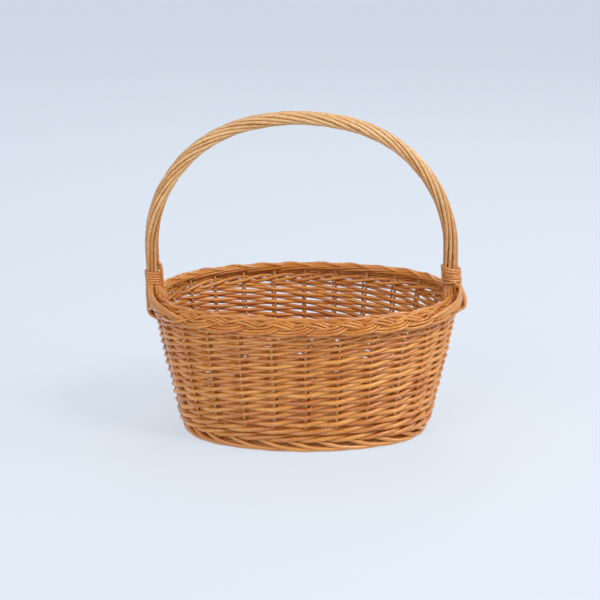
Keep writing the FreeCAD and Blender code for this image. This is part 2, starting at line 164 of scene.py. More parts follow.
def make_willow_skin():
    """
    The skin of a peeled rod. Noise is read at the point's place round the rod and along it, the
    second drawn out long, so it runs in streaks; each rod starts from its own tone.
    """
    tree = bpy.data.node_groups.new("willow_skin", "ShaderNodeTree")
    face = tree.interface
    for name, kind in (("Pale", "NodeSocketColor"), ("Deep", "NodeSocketColor")):
        face.new_socket(name, in_out="INPUT", socket_type=kind)
    face.new_socket("Streaks", in_out="INPUT", socket_type="NodeSocketFloat")
    face.new_socket("Spots", in_out="INPUT", socket_type="NodeSocketFloat")
    face.new_socket("Color", in_out="OUTPUT", socket_type="NodeSocketColor")
    face.new_socket("Roughness", in_out="OUTPUT", socket_type="NodeSocketFloat")
    face.new_socket("Height", in_out="OUTPUT", socket_type="NodeSocketFloat")
    ins = tree.nodes.new("NodeGroupInput")
    outs = tree.nodes.new("NodeGroupOutput")

    uv = tree.nodes.new("ShaderNodeUVMap")
    uv.uv_map = "rod"
    parts = tree.nodes.new("ShaderNodeSeparateXYZ")
    link(tree, uv.outputs[0], parts.inputs[0])
    tone = tree.nodes.new("ShaderNodeAttribute")
    tone.attribute_name = "tone"
    cut = tree.nodes.new("ShaderNodeAttribute")
    cut.attribute_name = "cut"
    angle = math_node(tree, "MULTIPLY", parts.outputs[0], 2 * np.pi)
    own = math_node(tree, "MULTIPLY", tone.outputs["Fac"], 57.0)

    def round_and_along(width, stretch):
        """The place on the rod: a circle of one width across, and its length times a stretch."""
        spot = tree.nodes.new("ShaderNodeCombineXYZ")
        across = math_node(tree, "COSINE", angle)
        beside = math_node(tree, "SINE", angle)
        link(tree, math_node(tree, "MULTIPLY", across, width), spot.inputs[0])
        link(tree, math_node(tree, "MULTIPLY", beside, width), spot.inputs[1])
        along = math_node(tree, "MULTIPLY", parts.outputs[1], stretch)
        link(tree, math_node(tree, "ADD", along, own), spot.inputs[2])
        return spot.outputs[0]

    streak = noise_node(tree, round_and_along(1.7, 13.0), 2.6, 4.0)
    drift = noise_node(tree, round_and_along(0.3, 9.0), 1.0, 2.0)
    grain = noise_node(tree, round_and_along(7.0, 55.0), 2.0, 3.0)
    spots = tree.nodes.new("ShaderNodeTexVoronoi")
    spots.inputs["Scale"].default_value = 1.0
    link(tree, round_and_along(0.9, 34.0), spots.inputs["Vector"])
    spot = math_node(tree, "LESS_THAN", spots.outputs["Distance"], 0.16)
    spot = math_node(tree, "MULTIPLY", spot, ins.outputs["Spots"])

    swing = math_node(tree, "SUBTRACT", streak, 0.5)
    swing = math_node(tree, "MULTIPLY", swing, ins.outputs["Streaks"])
    slow = math_node(tree, "SUBTRACT", drift, 0.5)
    blend = math_node(tree, "MULTIPLY", slow, 1.3)
    blend = math_node(tree, "ADD", blend, swing)
    blend = math_node(tree, "ADD", blend, tone.outputs["Fac"])
    blend = math_node(tree, "SUBTRACT", blend, spot)
    limit = tree.nodes.new("ShaderNodeClamp")
    link(tree, blend, limit.inputs[0])
    colour = mix_node(tree, limit.outputs[0], ins.outputs["Deep"], ins.outputs["Pale"])
    pith = (0.80, 0.62, 0.40, 1.0)
    colour = mix_node(tree, cut.outputs["Fac"], colour, pith)
    link(tree, colour, outs.inputs["Color"])
    rough = math_node(tree, "MULTIPLY", grain, 0.22)
    link(tree, math_node(tree, "ADD", rough, 0.22), outs.inputs["Roughness"])
    height = math_node(tree, "MULTIPLY", streak, 0.6)
    link(tree, math_node(tree, "ADD", height, math_node(tree, "MULTIPLY", grain, 0.5)),
         outs.inputs["Height"])
    return tree


willow_skin = make_willow_skin()


def willow(name, pale, deep, streaks=1.8, spots=0.35, bump=0.25):
    """A peeled and lightly varnished willow, between two colours."""
    material = bpy.data.materials.new(name)
    material.use_nodes = True
    tree = material.node_tree
    shader = tree.nodes["Principled BSDF"]
    skin = tree.nodes.new("ShaderNodeGroup")
    skin.node_tree = willow_skin
    skin.inputs["Pale"].default_value = (*pale, 1.0)
    skin.inputs["Deep"].default_value = (*deep, 1.0)
    skin.inputs["Streaks"].default_value = streaks
    skin.inputs["Spots"].default_value = spots
    link(tree, skin.outputs["Color"], shader.inputs["Base Color"])
    link(tree, skin.outputs["Roughness"], shader.inputs["Roughness"])
    relief = tree.nodes.new("ShaderNodeBump")
    relief.inputs["Strength"].default_value = bump
    relief.inputs["Distance"].default_value = 0.0006
    link(tree, skin.outputs["Height"], relief.inputs["Height"])
    link(tree, relief.outputs[0], shader.inputs["Normal"])
    shader.inputs["Specular IOR Level"].default_value = 0.5
    shader.inputs["Coat Weight"].default_value = 0.6
    shader.inputs["Coat Roughness"].default_value = 0.22
    return material


def fit(piece, material, slot, *nodes):
    """Give a piece its material and the parts that it stands for, which are hidden; the slot is not
    used.
    """
    piece.data.materials.append(material)
    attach(piece, "root")
    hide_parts(*nodes)


base_willow = willow("base_willow", (0.66, 0.32, 0.10), (0.44, 0.15, 0.03))
LONG_STICK_RADIUS = 0.0035
CROSS_STICK_RADIUS = 0.0028
STICK_WANDER = 0.0006
chance = np.random.default_rng(11)
along = np.linspace(0.0, 1.0, 40)
long_names = [f"base_long_stick_{number}" for number in range(1, 5)]
cross_names = [f"base_cross_stick_{number}" for number in range(1, 8)]
sticks = [(name, 0, LONG_STICK_RADIUS) for name in long_names]
sticks += [(name, 1, CROSS_STICK_RADIUS) for name in cross_names]
for stick_name, long_way, stick_radius in sticks:
    low, high = np.array(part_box(stick_name))
    line = np.repeat((low[None] + high[None]) / 2, len(along), axis=0)
    line[:, long_way] = low[long_way] + (high - low)[long_way] * along
    line[:, 1 - long_way] += STICK_WANDER * np.sin(along * 7 + chance.uniform(0, 6))
    thick = stick_radius * (1 + 0.05 * np.sin(along * 11 + chance.uniform(0, 6)))
    stick = rods(f"{stick_name}_rod", line[None], thick[None], (0, 0, 1), chance.uniform(0.3, 0.7), 10)
    fit(stick, base_willow, "base_willow", stick_name)

# ------------------------------------------------------------------- the weave of the base
# Paired rods are woven over and under the sticks in rounds, from the slits outwards, until the
# base is an oval mat. Each round goes over the sticks that the one before went under.

rim_low, rim_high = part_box("rim_border")
SIDE_BOW = 0.016
HALF_LENGTH = rim_high[0]
HALF_WIDTH = rim_high[1]
END_RADIUS = HALF_WIDTH - SIDE_BOW
END_CENTRE = HALF_LENGTH - END_RADIUS
SIDE_CENTRE = (END_CENTRE**2 - SIDE_BOW**2) / (2 * SIDE_BOW)
SIDE_RADIUS = HALF_WIDTH + SIDE_CENTRE
END_ANGLE = np.arctan2(SIDE_CENTRE, END_CENTRE)
STAKES = 26
END_GAPS = 7
SIDE_GAPS = 6
ARC_ENDS = np.array([0, END_GAPS, STAKES / 2, STAKES / 2 + END_GAPS, STAKES])
ARC_ANGLES = np.array([-1, 1, -1, 1, -1]) * END_ANGLE + np.array([0, 0, 1, 1, 2]) * np.pi


def oval(place, inset):
    """
    Points and outward directions of the oval, one inset inside the rim. Place counts stakes
    anticlockwise; on each of the four arcs the angle grows evenly with it, and a point is the
    arc's centre plus its radius less the inset, times the direction of the angle.
    """
    place = np.mod(place, STAKES)
    arc = np.clip(np.searchsorted(ARC_ENDS, place, side="right") - 1, 0, 3)
    angle = np.interp(place, ARC_ENDS, ARC_ANGLES)
    centre_x = np.array([END_CENTRE, 0, -END_CENTRE, 0])[arc]
    centre_y = np.array([0, -SIDE_CENTRE, 0, SIDE_CENTRE])[arc]
    radius = np.array([END_RADIUS, SIDE_RADIUS, END_RADIUS, SIDE_RADIUS])[arc] - inset
    out = np.stack([np.cos(angle), np.sin(angle), np.zeros_like(angle)], axis=-1)
    points = np.stack([centre_x + radius * out[..., 0], centre_y + radius * out[..., 1]], axis=-1)
    return points, out


MAT_ROD = 0.00185
MAT_WAVE = 0.0030
MAT_PITCH = 0.0036
MAT_POINTS = 364
FIRST_ROUND_HALF_WIDTH = 0.0172
mat_low, mat_high = np.array(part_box("base_weave"))
mat_middle = (mat_low[2] + mat_high[2]) / 2
places = np.linspace(0, STAKES, MAT_POINTS, endpoint=False)
edge = oval(places, HALF_LENGTH - mat_high[0] + MAT_ROD)[0]
spine = np.stack([np.clip(edge[:, 0], -END_CENTRE, END_CENTRE), np.zeros(len(places))], axis=-1)
first_round = FIRST_ROUND_HALF_WIDTH / mat_high[1]
rounds = int((1 - first_round) * mat_high[1] / MAT_PITCH)
reach = np.linspace(first_round, 1, rounds)[:, None, None]
plan = spine[None] + (edge - spine)[None] * reach
stick_x = np.array([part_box(name) for name in cross_names])[:, :, 0].mean(axis=1)
# The sticks that a round meets: four ends on the right, seven across the back, and so again.
right_half = places < END_GAPS + SIDE_GAPS
end_places = (np.arange(4) + 0.5) * END_GAPS / 4
back = (places >= END_GAPS) & right_half
back_places = np.interp(-stick_x[::-1], -edge[back, 0], places[back])
meets = np.concatenate([end_places, back_places])
meets = np.concatenate([meets, meets + STAKES / 2])
meets = np.concatenate([[meets[-1] - STAKES], meets, [meets[0] + STAKES]])
counted = np.interp(places, meets, np.arange(len(meets)))
parity = (-1.0) ** np.arange(rounds)[:, None]
wave = mat_middle + MAT_WAVE * parity * np.cos(np.pi * counted)[None]
mat_paths = np.concatenate([plan, wave[..., None]], axis=-1)
chance = np.random.default_rng(12)
tones = chance.uniform(0.25, 0.75, rounds)
mat = rods("base_weave_rods", mat_paths, MAT_ROD, (0, 0, 1), tones, 7, closed=True)
fit(mat, base_willow, "base_willow", "base_weave")

# ------------------------------------------------------------------------ stakes of the wall
# The uprights: one stout rod a place, pushed in beside the base sticks, pricked up and leaning
# out. They give way a little to each row of the siding. A thinner bye-stake stands on the
# anticlockwise side of each.

middle_low, middle_high = np.array(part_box("side_stake_11"))
STAKE_RADIUS = (middle_high[0] - middle_low[0]) / 2
LEAN = (middle_high[1] - middle_low[1] - 2 * STAKE_RADIUS) / (middle_high[2] - middle_low[2])


def wall_inset(height):
    """How far inside the rim the middle of the wall is: it falls evenly with height."""
    return HALF_WIDTH - (middle_low[1] + STAKE_RADIUS + (height - middle_low[2]) * LEAN)


HANDLE_PLACES = (END_GAPS / 2, STAKES / 2 + END_GAPS / 2)
END_BULGE = 0.0030
BULGE_WIDTH = 1.8
BULGE_FOOT = 0.035
BULGE_CLIMB = 0.06


def near_handle(place, width):
    """A bell of height 1 about the place of each leg of the handle, and 0 far from them."""
    away = [np.mod(place - leg + STAKES / 2, STAKES) - STAKES / 2 for leg in HANDLE_PLACES]
    return np.exp(-((away[0] / width) ** 2)) + np.exp(-((away[1] / width) ** 2))


def on_wall(place, height, out_by=0.0):
    """
    Points in the wall at a place and height, moved out by a distance, and which way is out. The
    upper wall bulges where the legs of the handle were driven down inside it.
    """
    bulge = END_BULGE * near_handle(place, BULGE_WIDTH)
    bulge = bulge * np.clip((height - BULGE_FOOT) / BULGE_CLIMB, 0, 1)
    points, out = oval(place, wall_inset(height) - out_by - bulge)
    return np.concatenate([points, np.broadcast_to(height, place.shape)[..., None]], axis=-1), out


def slow_noise(chance, rows, length, waves):
    """Rows of smooth noise, about -1 to 1: a few sines of chance phase added up."""
    at = np.linspace(0, 1, length)[None, :, None]
    turns = chance.uniform(0.3, 1.0, (rows, 1, 5)) * waves
    phase = chance.uniform(0, 2 * np.pi, (rows, 1, 5))
    return np.sin(2 * np.pi * turns * at + phase).sum(axis=-1) / 3


stake_willow = willow("stake_willow", (0.74, 0.37, 0.11), (0.42, 0.14, 0.025))
ROWS = 26
ROW_TAPER = 0.13
SIDING_DRAWN_ON = 0.0045
STAKE_POINTS = 110
STAKE_YIELD = 0.0015
STAKE_SWAY = 0.014
stake_names = [f"side_stake_{number:02d}" for number in range(1, STAKES + 1)]
chance = np.random.default_rng(13)
siding_low, siding_high = np.array(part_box("side_weave"))
share = np.linspace(0, 1, ROWS + 1)
climb = (1 + ROW_TAPER) * share - ROW_TAPER * share**2
row_heights = siding_low[2] + 0.0005 + (siding_high[2] + SIDING_DRAWN_ON - siding_low[2]) * climb
stake_place = np.arange(STAKES)[:, None] * np.ones((1, STAKE_POINTS))
heights = np.linspace(middle_low[2] + 0.001, middle_high[2], STAKE_POINTS)
heights = heights * np.ones((STAKES, 1))
sway = slow_noise(chance, STAKES, STAKE_POINTS, 2) * STAKE_SWAY
row = np.interp(heights, row_heights, np.arange(ROWS + 1), left=0.5, right=0.5)
yields = STAKE_YIELD * np.cos(np.pi * row)
stake_line, stake_out = on_wall(stake_place + sway, heights, yields)
girth = STAKE_RADIUS * np.linspace(1.0, 0.86, STAKE_POINTS)[None]
stakes = rods("side_stake_rods", stake_line, girth, stake_out, chance.uniform(0.2, 0.8, STAKES))
fit(stakes, stake_willow, "stake_willow", *stake_names)

BYE_RADIUS = 0.0014
BYE_GAP = 0.0001
BYE_SET_IN = 0.0015
bye_low, bye_high = np.array(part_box("bye_stakes"))
heights = np.linspace(bye_low[2], bye_high[2], STAKE_POINTS) * np.ones((STAKES, 1))
sway = slow_noise(chance, STAKES, STAKE_POINTS, 2) * STAKE_SWAY
bye_line, bye_out = on_wall(stake_place + sway, heights, yields - BYE_SET_IN)
beside = np.cross((0, 0, 1), bye_out)
bye_line = bye_line + beside * (girth + BYE_RADIUS + BYE_GAP)[..., None]
# The bye-stakes get darker tones than the stakes, painted shade, so that each reads as the shadow
# beside its stake.
byes = rods("bye_stake_rods", bye_line, BYE_RADIUS, bye_out, chance.uniform(0.0, 0.4, STAKES))
fit(byes, stake_willow, "stake_willow", "bye_stakes")

# ------------------------------------------------------------------------------ foot border
# Under the wall each foot rod comes out, slopes down past the next stakes and lies along the
# ground behind the ones after it, so that the basket stands on a smooth rope of rods.

foot_willow = willow("foot_willow", (0.74, 0.325, 0.062), (0.47, 0.127, 0.013))
FOOT_ROD = 0.0028
FOOT_REACH = 4.6
FOOT_POINTS = 60
FOOT_DRAW = 0.0050
FOOT_DRAW_WIDTH = 2.0


def bend(at, stops, values, width=9):
    """Values joined from stop to stop by straight lines, their corners rounded by an average."""
    line = np.interp(at, stops, values)
    window = np.hanning(width + 2)[1:-1]
    padded = np.pad(line, width // 2, mode="reflect", reflect_type="odd")
    return np.convolve(padded, window / window.sum(), mode="valid")


chance = np.random.default_rng(14)
reach = np.linspace(0, FOOT_REACH, FOOT_POINTS)
fall = bend(
    reach,
    [0, 0.3, 1.0, 1.6, 2.6, 3.6, FOOT_REACH],
    [0.0180, 0.0145, 0.0058, 0.0032, 0.0030, 0.0040, 0.0085],
)
stand = bend(
    reach,
    [0, 0.3, 1.0, 1.8, 2.6, 3.5, FOOT_REACH],
    [-0.002, 0.0022, 0.0056, 0.0056, 0.0030, -0.0030, -0.0075],
)
starts = np.arange(STAKES)[:, None] + 0.1 + chance.uniform(-0.08, 0.08, (STAKES, 1))
drawn_in = FOOT_DRAW * near_handle(starts + reach, FOOT_DRAW_WIDTH) * np.clip(reach, 0, 1)
foot_line, foot_out = on_wall(starts + reach, fall * np.ones((STAKES, 1)), stand - drawn_in)
foot = rods("foot_border_rods", foot_line, FOOT_ROD, foot_out, chance.uniform(0.25, 0.85, STAKES), 9)
fit(foot, foot_willow, "foot_willow", "foot_border")

# ---------------------------------------------------------------- upsett and top waling
# Waling is a rope of three rods worked round the stakes: each goes before two stakes and behind
# the third. Two stout rounds set up the wall, and one lighter round finishes it.

WALE_SPREAD = 0.87
WALE_REACH = 0.9
WALE_SQUARENESS = 0.7
COURSE_SHIFT = 1.3
wale_willow = willow("wale_willow", (0.76, 0.332, 0.060), (0.47, 0.124, 0.011))


def wale(name, low, high, courses, thick, seed, step_at):
    """
    Rounds of three-rod waling between two heights. A rod's height and its distance out are a
    sine and a cosine that turn once in three stakes, the cosine squared off a little; where the
    round is stepped up, the turn gains one stake, so that it closes on itself.
    """
    chance = np.random.default_rng(seed)
    rise = (high - low) / courses
    turns_at = np.linspace(0, STAKES, STAKES * 12, endpoint=False)
    gained = np.clip((turns_at - step_at) / 3, 0, 1)
    lines, tones = [], []
    half = (rise - 2 * thick) / 2 / WALE_SPREAD
    for course in range(courses):
        middle = low + rise * (course + 0.5)
        for rod in range(3):
            turn = 2 * np.pi / 3 * (turns_at + gained - rod + course * COURSE_SHIFT)
            height = middle - half * np.sin(turn) + 0.0003 * slow_noise(chance, 1, len(turn), 9)[0]
            away = -np.cos(turn)
            away = np.sign(away) * np.abs(away) ** WALE_SQUARENESS
            away = WALE_REACH * (STAKE_RADIUS + thick) * away
            line, out = on_wall(turns_at, height, away)
            lines.append(line)
            tones.append(0.5 + 0.3 * slow_noise(chance, 1, len(turn), 14)[0])
    outs = np.broadcast_to(out, (len(lines),) + out.shape)
    return rods(name, np.array(lines), thick, outs, np.array(tones), 9, closed=True)


upsett_low, upsett_high = np.array(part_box("upsett_wale"))
upsett = wale("upsett_wale_rods", upsett_low[2], upsett_high[2], 2, 0.0029, 15, 12)
fit(upsett, wale_willow, "wale_willow", "upsett_wale")
top_low, top_high = np.array(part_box("top_wale"))
TOP_WALE_LOW_SHIFT = 0.0050
TOP_WALE_HIGH_SHIFT = 0.0030
top_from = top_low[2] + TOP_WALE_LOW_SHIFT
top_to = top_high[2] + TOP_WALE_HIGH_SHIFT
top_wale = wale("top_wale_rods", top_from, top_to, 1, 0.0024, 16, 9)
fit(top_wale, wale_willow, "wale_willow", "top_wale")

# ------------------------------------------------------------------------------- the siding
# French randing: one long tapering rod starts behind every stake, and all are worked round
# together, before one stake and behind the next, each climbing one row at every stake. They are
# kinked where they pass a stake and run straight from one to the next.

siding_willow = willow("siding_willow", (0.78, 0.340, 0.062), (0.47, 0.120, 0.010))
BUTT_RADIUS = 0.0032
TIP_RADIUS = 0.0022
KINK = 0.985
CROSSING_SHIFT = 0.0007
CROSSING_EVEN = 0.4
ROW_POINTS = 12
chance = np.random.default_rng(17)
steps = np.linspace(0, ROWS, ROWS * ROW_POINTS + 1) * np.ones((STAKES, 1))
length = steps.shape[1]
girth = BUTT_RADIUS + (TIP_RADIUS - BUTT_RADIUS) * steps / ROWS
own_girth = chance.uniform(0.92, 1.07, (STAKES, 1))
girth = girth * (own_girth + 0.04 * slow_noise(chance, STAKES, length, 9))
height = np.interp(steps, np.arange(ROWS + 1), row_heights)
height = height + 0.00055 * slow_noise(chance, STAKES, length, 12)
swing = -np.arcsin(KINK * np.cos(np.pi * steps)) / np.arcsin(KINK)
away = (STAKE_RADIUS * 0.93 + girth - STAKE_YIELD) * swing
away = away + 0.0003 * slow_noise(chance, STAKES, length, 20)
place = np.arange(STAKES)[:, None] + steps
# Along the front the outer crossings sit a little low and the inner ones high, and at the back
# the other way.
toward_back = oval(place, 0)[1][..., 1]
height = height + CROSSING_SHIFT * swing * (toward_back - CROSSING_EVEN)
siding_line, siding_out = on_wall(place, height, away)
tones = chance.uniform(0.2, 0.85, (STAKES, 1)) + 0.12 * slow_noise(chance, STAKES, length, 6)
siding = rods("side_weave_rods", siding_line, girth, siding_out, tones, 9)
fit(siding, siding_willow, "siding_willow", "side_weave")

# ------------------------------------------------------------------------- the plaited border
# The stakes are finished in a plait laid on the wall's top: three bands of three rods each,
# crossed in turn over one another, which shows as a row of arrow points round the rim.

border_willow = willow("border_willow", (0.73, 0.298, 0.042), (0.42, 0.103, 0.007))
PLAITS = 9
BAND_RODS = 3
BAND_ROD = 0.00185
BAND_SPACING = 0.0036
PLAIT_HALF_WIDTH = 0.0066
PLAIT_HALF_DEPTH = 0.0027
PLAIT_INSET = 0.0080
PLAIT_TILT = np.radians(60)
PLAIT_SKEW = 0.35
FLATNESS = 1.3
PRESSED_BY = 0.0065
PRESSED_WIDTH = 0.55
PRESSED_IN = 0.35
border_middle = (rim_low[2] + rim_high[2]) / 2 - 0.001


def pressed(place):
    """How far the border is pressed down: a bell about each leg of the handle."""
    return PRESSED_BY * near_handle(place, PRESSED_WIDTH)


chance = np.random.default_rng(18)
turns_at = np.linspace(0, STAKES, PLAITS * 60, endpoint=False)
ground = np.linalg.norm(np.gradient(oval(turns_at, PLAIT_INSET)[0], axis=0), axis=-1)
plait_lines, plait_tones, plait_outs = [], [], []
for band in range(3):
    turn = 2 * np.pi * (turns_at * PLAITS / STAKES - band / 3)
    turn = turn + PLAIT_SKEW * np.sin(turn)
    up = PLAIT_HALF_WIDTH * np.tanh(FLATNESS * np.sin(turn)) / np.tanh(FLATNESS)
    over = -PLAIT_HALF_DEPTH * np.sin(2 * turn)
    slope = np.gradient(up) / ground
    for rod in range(BAND_RODS):
        aside = (rod - (BAND_RODS - 1) / 2) * BAND_SPACING
        rod_up = up + aside / np.sqrt(1 + slope**2)
        rod_back = -aside * slope / np.sqrt(1 + slope**2)
        shift = rod_back / ground * (turns_at[1] - turns_at[0])
        inset = PLAIT_INSET + rod_up * np.cos(PLAIT_TILT) - over * np.sin(PLAIT_TILT)
        inset = inset + 0.0003 * slow_noise(chance, 1, len(turn), 20)[0]
        dip = pressed(turns_at + shift)
        points, out = oval(turns_at + shift, inset - PRESSED_IN * dip)
        level = border_middle + rod_up * np.sin(PLAIT_TILT) + over * np.cos(PLAIT_TILT) - dip
        level = level + 0.0004 * slow_noise(chance, 1, len(turn), 20)[0]
        plait_lines.append(np.concatenate([points, level[:, None]], axis=-1))
        plait_outs.append(out)
        plait_tones.append(0.55 + 0.3 * slow_noise(chance, 1, len(turn), 16)[0])
plait_lines = np.array(plait_lines)
plait_outs = np.array(plait_outs)
plait_tones = np.array(plait_tones)
plait = rods("rim_border_plait", plait_lines, BAND_ROD, plait_outs, plait_tones, 9, closed=True)
fit(plait, border_willow, "border_willow", "rim_border")

# Inside the plait a rod from each stake rolls over the wall's top and lies along the inner side.
ROLL_REACH = 4.2
ROLL_ROD = 0.0020
ROLL_POINTS = 40
reach = np.linspace(0, ROLL_REACH, ROLL_POINTS)
drop = bend(reach, [0, 0.5, 1.3, 3.1, ROLL_REACH], [0.1730, 0.1788, 0.1794, 0.1748, 0.1715])
inward = bend(reach, [0, 0.5, 1.3, 3.1, ROLL_REACH], [0.0060, 0.0085, 0.0115, 0.0148, 0.0128])
starts = np.arange(STAKES)[:, None] - 0.3 + chance.uniform(-0.1, 0.1, (STAKES, 1))
dip = pressed(starts + reach)
roll_points, roll_out = oval(starts + reach, inward - PRESSED_IN * dip)
roll_level = drop - dip + 0.0004 * slow_noise(chance, STAKES, ROLL_POINTS, 3)
roll_line = np.concatenate([roll_points, roll_level[..., None]], axis=-1)
roll_girth = ROLL_ROD * np.linspace(1.05, 0.85, ROLL_POINTS)
roll = rods("rim_border_roll", roll_line, roll_girth, roll_out, chance.uniform(0.3, 0.8, STAKES), 9)
fit(roll, border_willow, "border_willow", "rim_border")

# Beside each leg of the handle three stouter rods start against the neck and sweep down over the
# front of the plait, one below another, before their ends are tucked under it.
SHOULDER_RODS = 3
SHOULDER_ROD = 0.0023
at = np.linspace(0, 1, 44)
for side, leg, way in (("left", HANDLE_PLACES[1], 1), ("right", HANDLE_PLACES[0], -1)):
    lines, outs = [], []
    for number in range(SHOULDER_RODS):
        walk = leg + way * (0.22 + (1.6 + 0.5 * number) * at)
        top = 0.1815 + 0.0034 * number
        middle = 0.1742 + 0.0028 * number
        low = 0.1690 + 0.0020 * number
        level = bend(at, [0, 0.2, 0.45, 0.8, 1], [top, top - 0.0035, middle, low, 0.1660])
        inset = bend(at, [0, 0.2, 0.45, 0.8, 1], [0.0035, 0.0010, -0.0012, 0.0008, 0.0075])
        points, out = oval(walk, inset)
        lines.append(np.concatenate([points, level[:, None]], axis=-1))
        outs.append(out)
    tones = chance.uniform(0.5, 0.95, SHOULDER_RODS)
    sweep = rods(f"rim_border_{side}_shoulder", np.array(lines), SHOULDER_ROD, np.array(outs), tones, 9)
    fit(sweep, border_willow, "border_willow", "rim_border")

# ------------------------------------------------------------------------ bow of the handle
# One stout willow rod bent to an arch. Both ends are shaved to a long point and driven down
# the wall, so the bow is full size only above the border.

handle_willow = willow("handle_willow", (0.77, 0.470, 0.205), (0.50, 0.19, 0.034), streaks=1.4)
bow_low, bow_high = np.array(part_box("handle_bow"))
roping_low, roping_high = np.array(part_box("handle_roping"))
HANDLE_SPRING = 0.234
SHOULDER_SHIFT = 0.026
CROWN_RISE = 0.0035
ROPE_RADIUS = (roping_high[1] - roping_low[1]) / 2
BOW_RADIUS = (bow_high[1] - bow_low[1]) / 2
LEG_X = roping_high[0] - ROPE_RADIUS
SHOULDER_RADIUS = LEG_X - SHOULDER_SHIFT
CROWN_DROP = (SHOULDER_SHIFT**2 - CROWN_RISE**2) / (2 * CROWN_RISE)
CROWN_RADIUS = SHOULDER_RADIUS + CROWN_RISE + CROWN_DROP
CROWN_ANGLE = np.arctan2(CROWN_DROP, SHOULDER_SHIFT)


def arch(foot, spacing):
    """
    The bow's line from the right foot over the top to the left, at even spacing: a straight
    leg, a shoulder arc and half the crown arc, and the same mirrored.
    """
    leg = np.stack([np.full(40, LEG_X), np.linspace(foot, HANDLE_SPRING, 40)], axis=-1)
    turn = np.linspace(0, CROWN_ANGLE, 90)[1:]
    round_shoulder = np.stack([np.cos(turn), np.sin(turn)], axis=-1) * SHOULDER_RADIUS
    shoulder = round_shoulder + (SHOULDER_SHIFT, HANDLE_SPRING)
    turn = np.linspace(CROWN_ANGLE, np.pi / 2, 90)[1:]
    crown = np.stack([np.cos(turn), np.sin(turn)], axis=-1) * CROWN_RADIUS
    crown = crown + (0, HANDLE_SPRING - CROWN_DROP)
    half = np.concatenate([leg, shoulder, crown])
    whole = np.concatenate([half, half[-2::-1] * (-1, 1)])
    run = np.concatenate([[0], np.cumsum(np.linalg.norm(np.diff(whole, axis=0), axis=-1))])
    even = np.linspace(0, run[-1], int(run[-1] / spacing))
    across = np.interp(even, run, whole[:, 0])
    up = np.interp(even, run, whole[:, 1])
    return even, np.stack([across, np.zeros(len(even)), up], axis=-1)


def lean_of_handle(points):
    """The handle's points moved a little to the left, more with height, as it was set."""
    shift = np.interp(points[..., 2], [0.165, 0.2, 0.24, 0.4], [0, -0.0042, -0.0058, -0.0088])
    return points + shift[..., None] * np.array([1, 0, 0])


BOW_SET_IN = 0.0022
bow_line = arch(rim_low[2], 0.003)[1]
leg_z = np.linspace(bow_low[2], rim_low[2] - 0.006, 30)
leg_x = HALF_LENGTH - wall_inset(leg_z) - BOW_SET_IN
right_leg = np.stack([leg_x, np.zeros_like(leg_x), leg_z], axis=-1)
left_leg = right_leg[::-1] * (-1, 1, 1)
bow_path = lean_of_handle(np.concatenate([right_leg, bow_line, left_leg]))
shaved = np.interp(
    bow_path[:, 2], [bow_low[2], 0.12, 0.155, 0.172], [0.0015, 0.0021, 0.0027, BOW_RADIUS]
)
bow_tone = np.interp(bow_path[:, 2], [0.16, 0.23], [0.0, 0.5])
bow = rods("handle_bow_rod", bow_path[None], shaved[None], (0, 1, 0), bow_tone, 12)
fit(bow, handle_willow, "handle_willow", "handle_bow")

# ---------------------------------------------------------------------- roping of the handle
# Nine slim rods are pushed in at one foot of the bow and wound over it together to the other,
# side by side, so that they hide it: nearly straight up the legs, faster over the crown.

ROPES = 9
ROPE_ROD = 0.0023
ROPE_TURN = 0.215
LEG_TURN = 0.75
ROPE_SWELL_RIGHT = 0.0013
ROPE_SWELL_LEFT = 0.0001
SWELL_FADE = 0.07
chance = np.random.default_rng(19)
run, rope_core = arch(roping_low[2] + 0.006, 0.0035)
forward = unit(np.gradient(rope_core, axis=0))
outward = np.cross(forward, (0, -1, 0))
from_foot = np.minimum(run, run[-1] - run)
crowning = np.clip((from_foot - 0.03) / 0.16, 0, 1)
crowning = crowning**2 * (3 - 2 * crowning)
pace = 2 * np.pi * ((1 - crowning) / LEG_TURN + crowning / ROPE_TURN)
twist = np.cumsum(pace) * (run[1] - run[0])
swell = np.where(rope_core[:, 0] > 0, ROPE_SWELL_RIGHT, ROPE_SWELL_LEFT)
swell = swell * np.exp(-from_foot / SWELL_FADE)
rope_lines, rope_tones, rope_girth = [], [], []
for number in range(ROPES):
    turn = 2 * np.pi * number / ROPES + twist + 0.06 * slow_noise(chance, 1, len(run), 9)[0]
    away = ROPE_RADIUS - ROPE_ROD + swell + 0.00025 * slow_noise(chance, 1, len(run), 9)[0]
    side = np.cos(turn)[:, None] * outward + np.sin(turn)[:, None] * np.array([0, 1, 0])
    rope_lines.append(lean_of_handle(rope_core + away[:, None] * side))
    # The rope's rods are painted paler toward the crown, a painted highlight where light from above
    # falls on the top of the handle.
    painted_top_light = 0.28 + 0.45 * np.clip((rope_core[:, 2] - 0.22) / 0.16, 0, 1)
    streaked = painted_top_light + 0.2 * slow_noise(chance, 1, len(run), 5)[0]
    rope_tones.append(streaked + chance.uniform(-0.15, 0.15))
    rope_girth.append(ROPE_ROD * chance.uniform(0.9, 1.06) * np.ones(len(run)))
rope_lines = np.array(rope_lines)
rope_girth = np.array(rope_girth)
rope_tones = np.array(rope_tones)
rope = rods("handle_roping_rods", rope_lines, rope_girth, (0, 1, 0), rope_tones, 10)
fit(rope, handle_willow, "handle_willow", "handle_roping")

# --------------------------------------------------------------- whipping and tails of the rope
# At each neck a slim rod is wound tight round the rope just above the border, and the rope's
# own ends pass down outside the border and inside it, and are tucked into the wall below.

whipping_willow = willow("whipping_willow", (0.74, 0.34, 0.085), (0.48, 0.140, 0.018))
WHIP_ROD = 0.00165
wrap_low, wrap_high = np.array(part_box("left_neck_wrap"))


